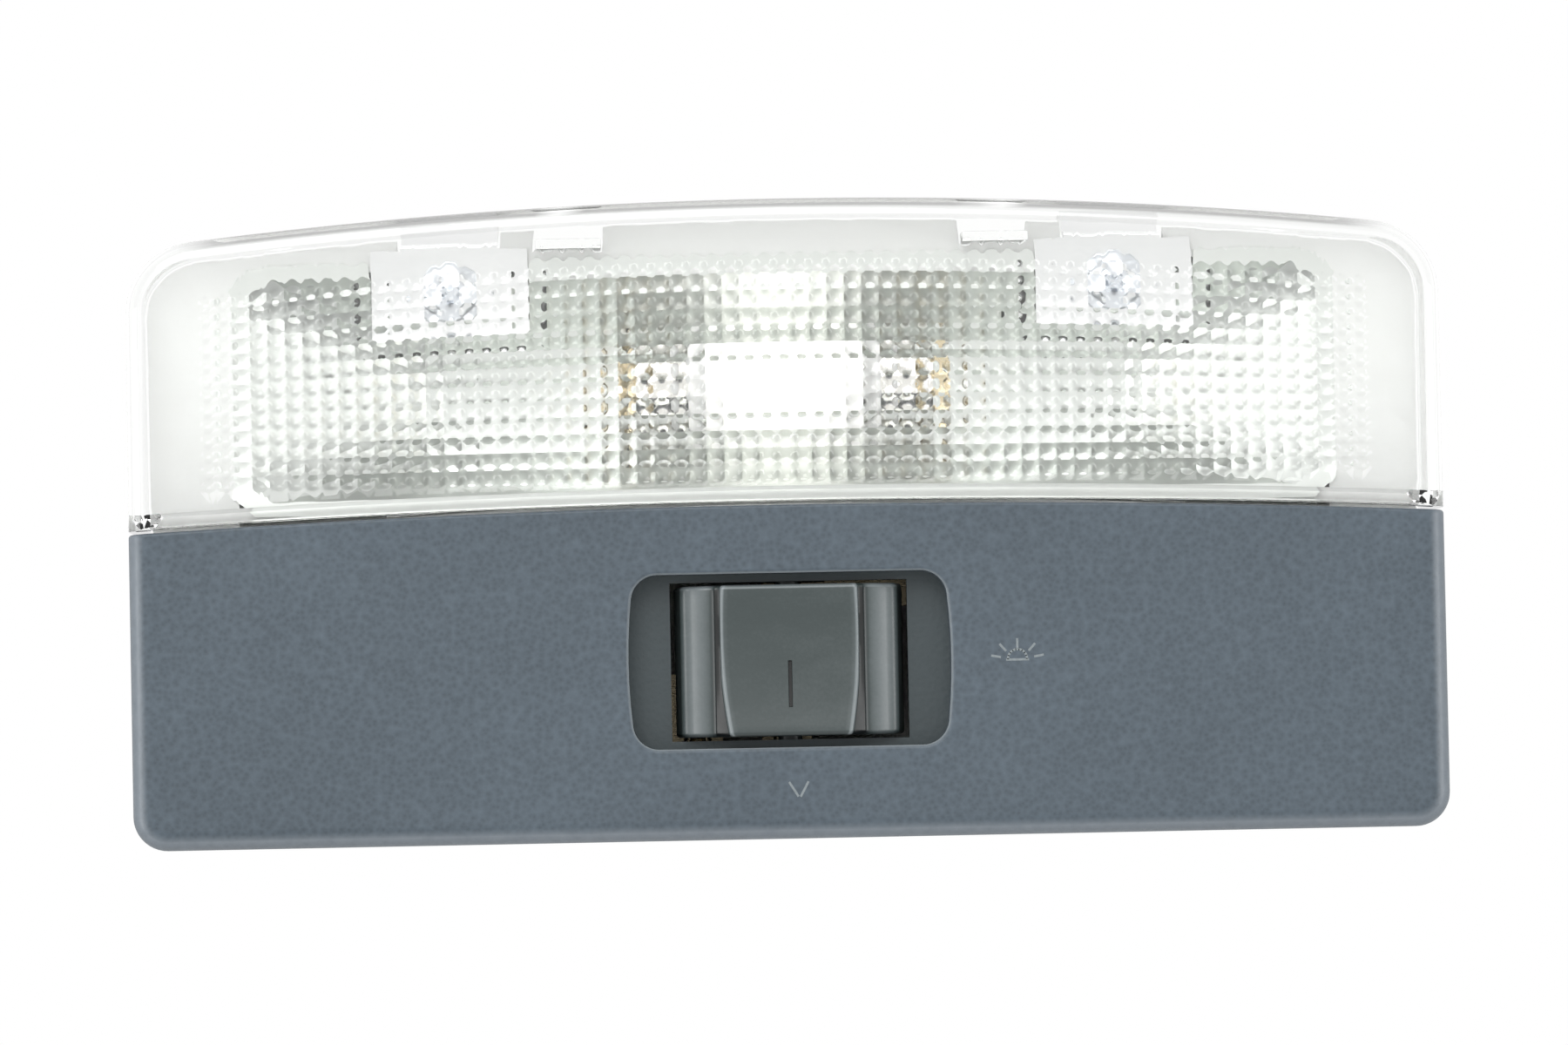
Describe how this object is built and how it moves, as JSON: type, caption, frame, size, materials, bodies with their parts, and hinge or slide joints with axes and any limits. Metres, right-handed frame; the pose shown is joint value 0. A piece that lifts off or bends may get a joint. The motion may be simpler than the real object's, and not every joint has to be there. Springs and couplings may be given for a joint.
{
  "type": "car courtesy light",
  "caption": "Roof courtesy light with a clear prismatic lens, festoon bulb in a metal trough, and a dark panel with a three-position rocker switch.",
  "frame": {"origin": "middle of the outline on the roof plane, where the flange rests", "axes": "+X along the width, +Y from the switch panel to the lens, +Z from the roof to the cabin"},
  "size_m": [0.16, 0.078, 0.0324],
  "materials": {
    "clear_plastic": "clear polished plastic",
    "panel_plastic": "fine grained blue-grey plastic",
    "rocker_plastic": "smooth satin blue-grey plastic",
    "white_plastic": "satin white plastic",
    "reflector_metal": "satin bright pressed sheet",
    "spring_steel": "zinc plated spring steel",
    "zinc_steel": "zinc plated steel",
    "bulb_glass": "frosted white glass",
    "nickel_cap": "nickel plated brass",
    "tungsten": "bare tungsten wire",
    "contact_brass": "rolled brass sheet",
    "rivet_brass": "tubular brass rivets",
    "plunger_plastic": "natural low-friction plastic"
  },
  "bodies": {
    "lamp": {"lens": "clear_plastic", "switch_panel": "panel_plastic", "base_tray": "white_plastic", "reflector": "reflector_metal", "clip_left": "spring_steel", "clip_right": "spring_steel", "clip_screws": "zinc_steel", "bulb_glass": "bulb_glass", "bulb_cap_left": "nickel_cap", "bulb_cap_right": "nickel_cap", "bulb_filament": "tungsten", "supply_strip": "contact_brass", "return_strip": "contact_brass", "door_strip": "contact_brass", "ground_strip": "contact_brass", "strip_rivets": "rivet_brass"},
    "switch": {"rocker": "rocker_plastic", "contact_plunger": "plunger_plastic", "contact_bridge": "contact_brass", "contact_spring": "spring_steel"}
  },
  "joints": [
    {"name": "rocker_tilt", "type": "hinge", "parent": "lamp", "child": "switch", "pos_m": [0, -0.0173, 0.006], "axis": [0, 1, 0], "range_deg": [-9, 9]}
  ]
}
